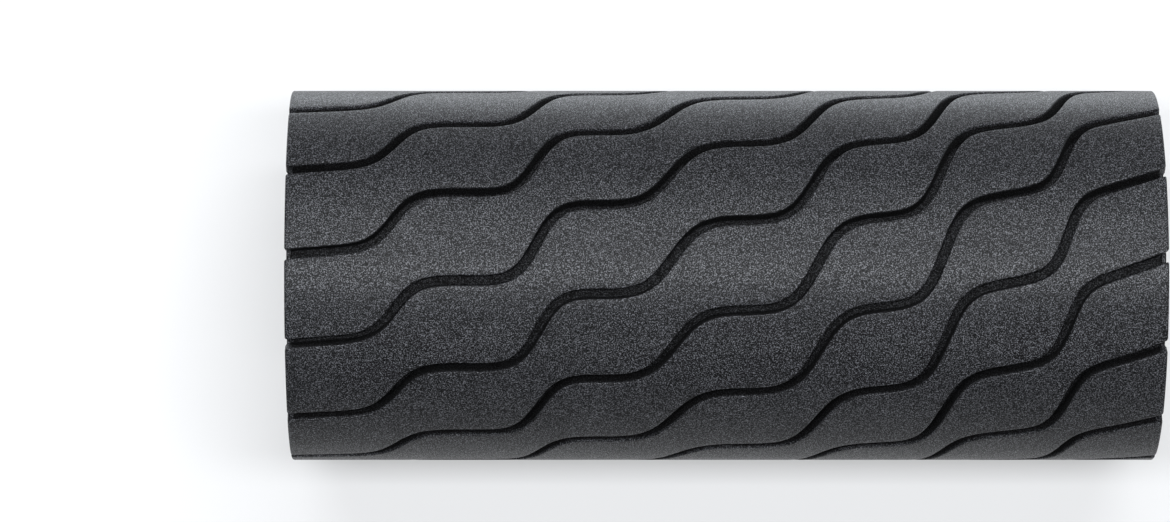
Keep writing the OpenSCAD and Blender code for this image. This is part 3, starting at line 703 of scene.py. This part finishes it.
def metal(name, colour, rough, stretch=(1, 14, 14), spread=0.12):
    """Turned or drawn metal: fine streaks square to the roller's axis."""
    m = Nodes(name)
    streaks, cloud = m.noise(420, 3.0, 0.6, stretch), m.noise(80, 3.0, 0.5)
    base = m.ramp(cloud, [(0.3, shade(colour, 1 - spread)), (0.7, shade(colour, 1 + spread))])
    m.set(Base_Color=base, Metallic=1.0)
    m.set(Roughness=m.range(streaks, rough * 0.75, rough * 1.25))
    m.set(Normal=m.bump(streaks, 0.2, 0.00002))
    return m.material


def rubber(name, colour):
    m = Nodes(name)
    fine, dust = m.noise(1900, 2.0, 0.5), m.noise(150, 5.0, 0.7)
    base = m.ramp(dust, [(0.35, shade(colour, 0.8)), (0.75, shade(colour, 1.7))])
    m.set(Base_Color=base, Roughness=m.range(dust, 0.55, 0.8))
    m.set(Normal=m.bump(fine, 0.3, 0.00004))
    return m.material


def circuit(name, colour):
    """Solder mask with a faint pattern of tracks under it."""
    m = Nodes(name)
    tracks = m.add("TexBrick", {"Vector": m.place, "Scale": 160.0, "Mortar Size": 0.035,
                                "Mortar Smooth": 0.3}, offset=0.35).outputs["Fac"]
    cloud = m.noise(90, 3.0, 0.5)
    base = m.ramp(m.math("ADD", m.math("MULTIPLY", tracks, 0.5), m.math("MULTIPLY", cloud, 0.4)), [
        (0.12, shade(colour, 0.75)), (0.35, shade(colour, 1.1)), (0.6, shade(colour, 2.0)),
    ])
    m.set(Base_Color=base, Roughness=m.range(cloud, 0.25, 0.4))
    m.set(Coat_Weight=0.3)
    m.set(Normal=m.bump(tracks, 0.25, 0.00003))
    return m.material


def woven(name, colour):
    """Flat woven webbing: two crossed sets of threads."""
    m = Nodes(name)
    one = m.add("TexWave", {"Vector": m.place, "Scale": 620.0, "Distortion": 0.4},
                bands_direction="X").outputs["Fac"]
    two = m.add("TexWave", {"Vector": m.place, "Scale": 620.0, "Distortion": 0.4},
                bands_direction="DIAGONAL").outputs["Fac"]
    threads = m.math("MULTIPLY", one, two)
    base = m.ramp(threads, [(0.0, shade(colour, 0.5)), (0.7, shade(colour, 1.8))])
    m.set(Base_Color=base, Roughness=m.range(m.noise(300), 0.75, 0.95))
    m.shader.inputs["Sheen Weight"].default_value = 0.2
    m.set(Normal=m.bump(threads, 0.5, 0.0001))
    return m.material


def wound(name, colour):
    """Enamelled copper wire, laid in turns."""
    m = Nodes(name)
    turns = m.add("TexWave", {"Vector": m.place, "Scale": 900.0, "Distortion": 1.2},
                  bands_direction="X").outputs["Fac"]
    base = m.ramp(turns, [(0.1, shade(colour, 0.35)), (0.6, shade(colour, 1.2))])
    m.set(Base_Color=base, Metallic=0.9, Roughness=m.range(turns, 0.45, 0.25, 0, 1))
    m.set(Normal=m.bump(turns, 0.6, 0.0002))
    return m.material


def laminated(name, colour):
    """Stack of thin steel sheets, edges along the axis."""
    m = Nodes(name)
    sheets = m.add("TexWave", {"Vector": m.place, "Scale": 300.0, "Distortion": 0.1},
                   bands_direction="X").outputs["Fac"]
    base = m.ramp(sheets, [(0.15, shade(colour, 0.45)), (0.5, shade(colour, 1.15))])
    m.set(Base_Color=base, Metallic=1.0, Roughness=m.range(sheets, 0.6, 0.35, 0, 1))
    m.set(Normal=m.bump(sheets, 0.4, 0.0001))
    return m.material


def clear_plastic(name, colour):
    """Milky light guide: it passes light but isn't see-through."""
    m = Nodes(name)
    cloud = m.noise(260, 2.0, 0.5)
    base = m.ramp(cloud, [(0.3, shade(colour, 0.82)), (0.7, shade(colour, 1.05))])
    m.set(Base_Color=base, Roughness=m.range(cloud, 0.12, 0.25))
    m.shader.inputs["Subsurface Weight"].default_value = 0.4
    m.shader.inputs["Subsurface Scale"].default_value = 0.002
    m.set(Coat_Weight=0.4)
    return m.material


def pad_foam(name, colour):
    m = Nodes(name)
    cells = m.add("TexVoronoi", {"Vector": m.place, "Scale": 900.0}).outputs["Distance"]
    base = m.ramp(cells, [(0.1, shade(colour, 0.4)), (0.6, shade(colour, 1.8))])
    m.set(Base_Color=base, Roughness=m.range(cells, 0.95, 0.8, 0, 1))
    m.set(Normal=m.bump(cells, 0.7, 0.0003))
    return m.material


# Each slot's material: which kind it is, and that function's own values after name and colour
MAKERS = {
    "core_plastic": (plastic, 0.5, 1500),
    "cap_plastic": (plastic, 0.52, 2400, 0.00004),
    "cover_plastic": (plastic, 0.55, 2400, 0.00005),
    "panel_gloss": (plastic, 0.13, 700, 0.000004, 0.5, 0.3),
    "button_plastic": (plastic, 0.42, 2800, 0.00003),
    "plunger_plastic": (plastic, 0.4, 1800, 0.00002, 0, 0.06),
    "clear_plastic": (clear_plastic,),
    "chip_white": (plastic, 0.3, 3000, 0.00001, 0.2, 0.05),
    "black_plastic": (plastic, 0.42, 2200, 0.00003),
    "chassis_plastic": (plastic, 0.6, 1600, 0.00005, 0, 0.15),
    "connector_plastic": (plastic, 0.45, 1800, 0.00002, 0, 0.06),
    "capacitor_sleeve": (plastic, 0.25, 900, 0.00001, 0.4),
    "cell_wrap": (plastic, 0.28, 500, 0.00001, 0.4, 0.1),
    "carbon": (plastic, 0.7, 1200, 0.00006, 0, 0.4),
    "magnet": (plastic, 0.5, 1400, 0.00003, 0, 0.2),
    "seal_rubber": (rubber,),
    "lead_jacket": (rubber,),
    "contact_metal": (metal, 0.28),
    "screw_steel": (metal, 0.3),
    "screw_black": (metal, 0.4),
    "motor_steel": (metal, 0.32, (14, 1, 1)),
    "bell_alloy": (metal, 0.42),
    "bush_bronze": (metal, 0.45, (3, 3, 3), 0.25),
    "contact_brass": (metal, 0.3),
    "shaft_steel": (metal, 0.15, (14, 1, 1)),
    "weight_steel": (metal, 0.4, (3, 3, 3), 0.2),
    "bearing_steel": (metal, 0.12),
    "lamination_steel": (laminated,),
    "copper": (wound,),
    "circuit_board": (circuit,),
    "strap_fabric": (woven,),
    "pad_foam": (pad_foam,),
}


def dress(pieces):
    """Gives every CAD node and every new piece the material of its slot."""
    record = frame["record"]
    colours = {m["slot"]: m["base_color"] for m in record["materials"]}
    made = {"foam": foam_material()}
    made.update({slot: make(slot, colours[slot], *rest) for slot, (make, *rest) in MAKERS.items()})
    slots = {s["node"]: s["material_slot"] for s in record["subparts"]}
    shown = [(obj, slots[name]) for name, obj in frame["nodes"].items()]
    shown += [(piece, piece["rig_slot"]) for piece in pieces]
    for obj, slot in shown:
        obj.data.materials.clear()
        obj.data.materials.append(made[slot])


# ------------------------------------------------------------------ stage
CAMERA_ASIDE = (-0.0488, 0.0051)
CAMERA_HIGH = 33 * FOAM_R
CAMERA_LENS = 187.25
LAMP_FAR = 2.6
LAMP_L = 2.4
SOFT_WHITE = (0.94, 0.965, 1.0)
COOL_WHITE = (0.88, 0.94, 1.0)


def floor():
    """Plain pale floor that the roller lies on."""
    size = 4.0
    corners = [(-size, -size), (size, -size), (size, size), (-size, size)]
    mesh = bpy.data.meshes.new("studio_floor")
    mesh.from_pydata([(x, y, FLOOR_Z) for x, y in corners], [], [(0, 1, 2, 3)])
    obj = placed("studio_floor", mesh)
    m = Nodes("pale_floor")
    m.set(Base_Color=(0.42, 0.42, 0.42, 1), Roughness=0.8, Specular_IOR_Level=0.1)
    m.set(Emission_Color=(1, 1, 1, 1), Emission_Strength=0.38)
    mesh.materials.append(m.material)


def area_light(name, size_x, size_y, power, colour):
    data = bpy.data.lights.new(name, "AREA")
    data.shape = "RECTANGLE"
    data.size = size_x
    data.size_y = size_y
    data.energy = power
    data.color = colour
    return placed(name, data)


def soft_box(name, angle, power, width):
    """Long box light along the roller, at an angle from straight up towards +Y."""
    lamp = area_light(name, width, LAMP_L, power, SOFT_WHITE)
    a = math.radians(angle)
    lamp.location = (0, LAMP_FAR * sin(a), LAMP_FAR * cos(a))
    lamp.rotation_mode = "QUATERNION"
    lamp.rotation_quaternion = (-lamp.location).to_track_quat("-Z", "X")


def low_panel(power, y0, y1):
    """Panel lying on the floor beside the roller, facing up, for the bright line along its far side."""
    lamp = area_light("low_panel", LAMP_L, y1 - y0, power, COOL_WHITE)
    lamp.location = (0, (y0 + y1) / 2, FLOOR_Z + 1 * MM)
    lamp.rotation_euler = (pi, 0, 0)
    lamp.visible_camera = False


def lights():
    """Soft boxes round the roller, two panels beside it, and a trace of light from all round."""
    world = bpy.context.scene.world or bpy.data.worlds.new("studio")
    bpy.context.scene.world = world
    world.use_nodes = True
    back = world.node_tree.nodes["Background"]
    back.inputs["Color"].default_value = (1, 1, 1, 1)
    back.inputs["Strength"].default_value = 0.01
    soft_box("overhead", 3, 76, 0.45)
    soft_box("key", 30, 44, 0.35)
    soft_box("far_side", 51, 17, 0.4)
    soft_box("near_side", -42, 13, 0.4)
    soft_box("near_low", -84, 5, 0.25)
    low_panel(0.95, 0.11, 0.16)
    low_panel(1.0, 0.16, 0.36)


def camera():
    """Straight above, image right along +X and image up along +Y."""
    data = bpy.data.cameras.new("camera")
    data.sensor_width = 36.0
    data.lens = CAMERA_LENS
    data.clip_start = 0.05
    data.clip_end = 20
    cam = placed("camera", data)
    cam.location = (*CAMERA_ASIDE, CAMERA_HIGH)
    bpy.context.scene.camera = cam


# ------------------------------------------------------------------ the scene
foam = foam_sleeve()
pieces = [foam, control_cap(), plain_cap(), panel_overlay(), cover_disc(), level_lights()]
pieces += [charge_socket()] + buttons()
dress(pieces)
floor()
lights()
camera()
bpy.context.scene.view_settings.view_transform = "Standard"
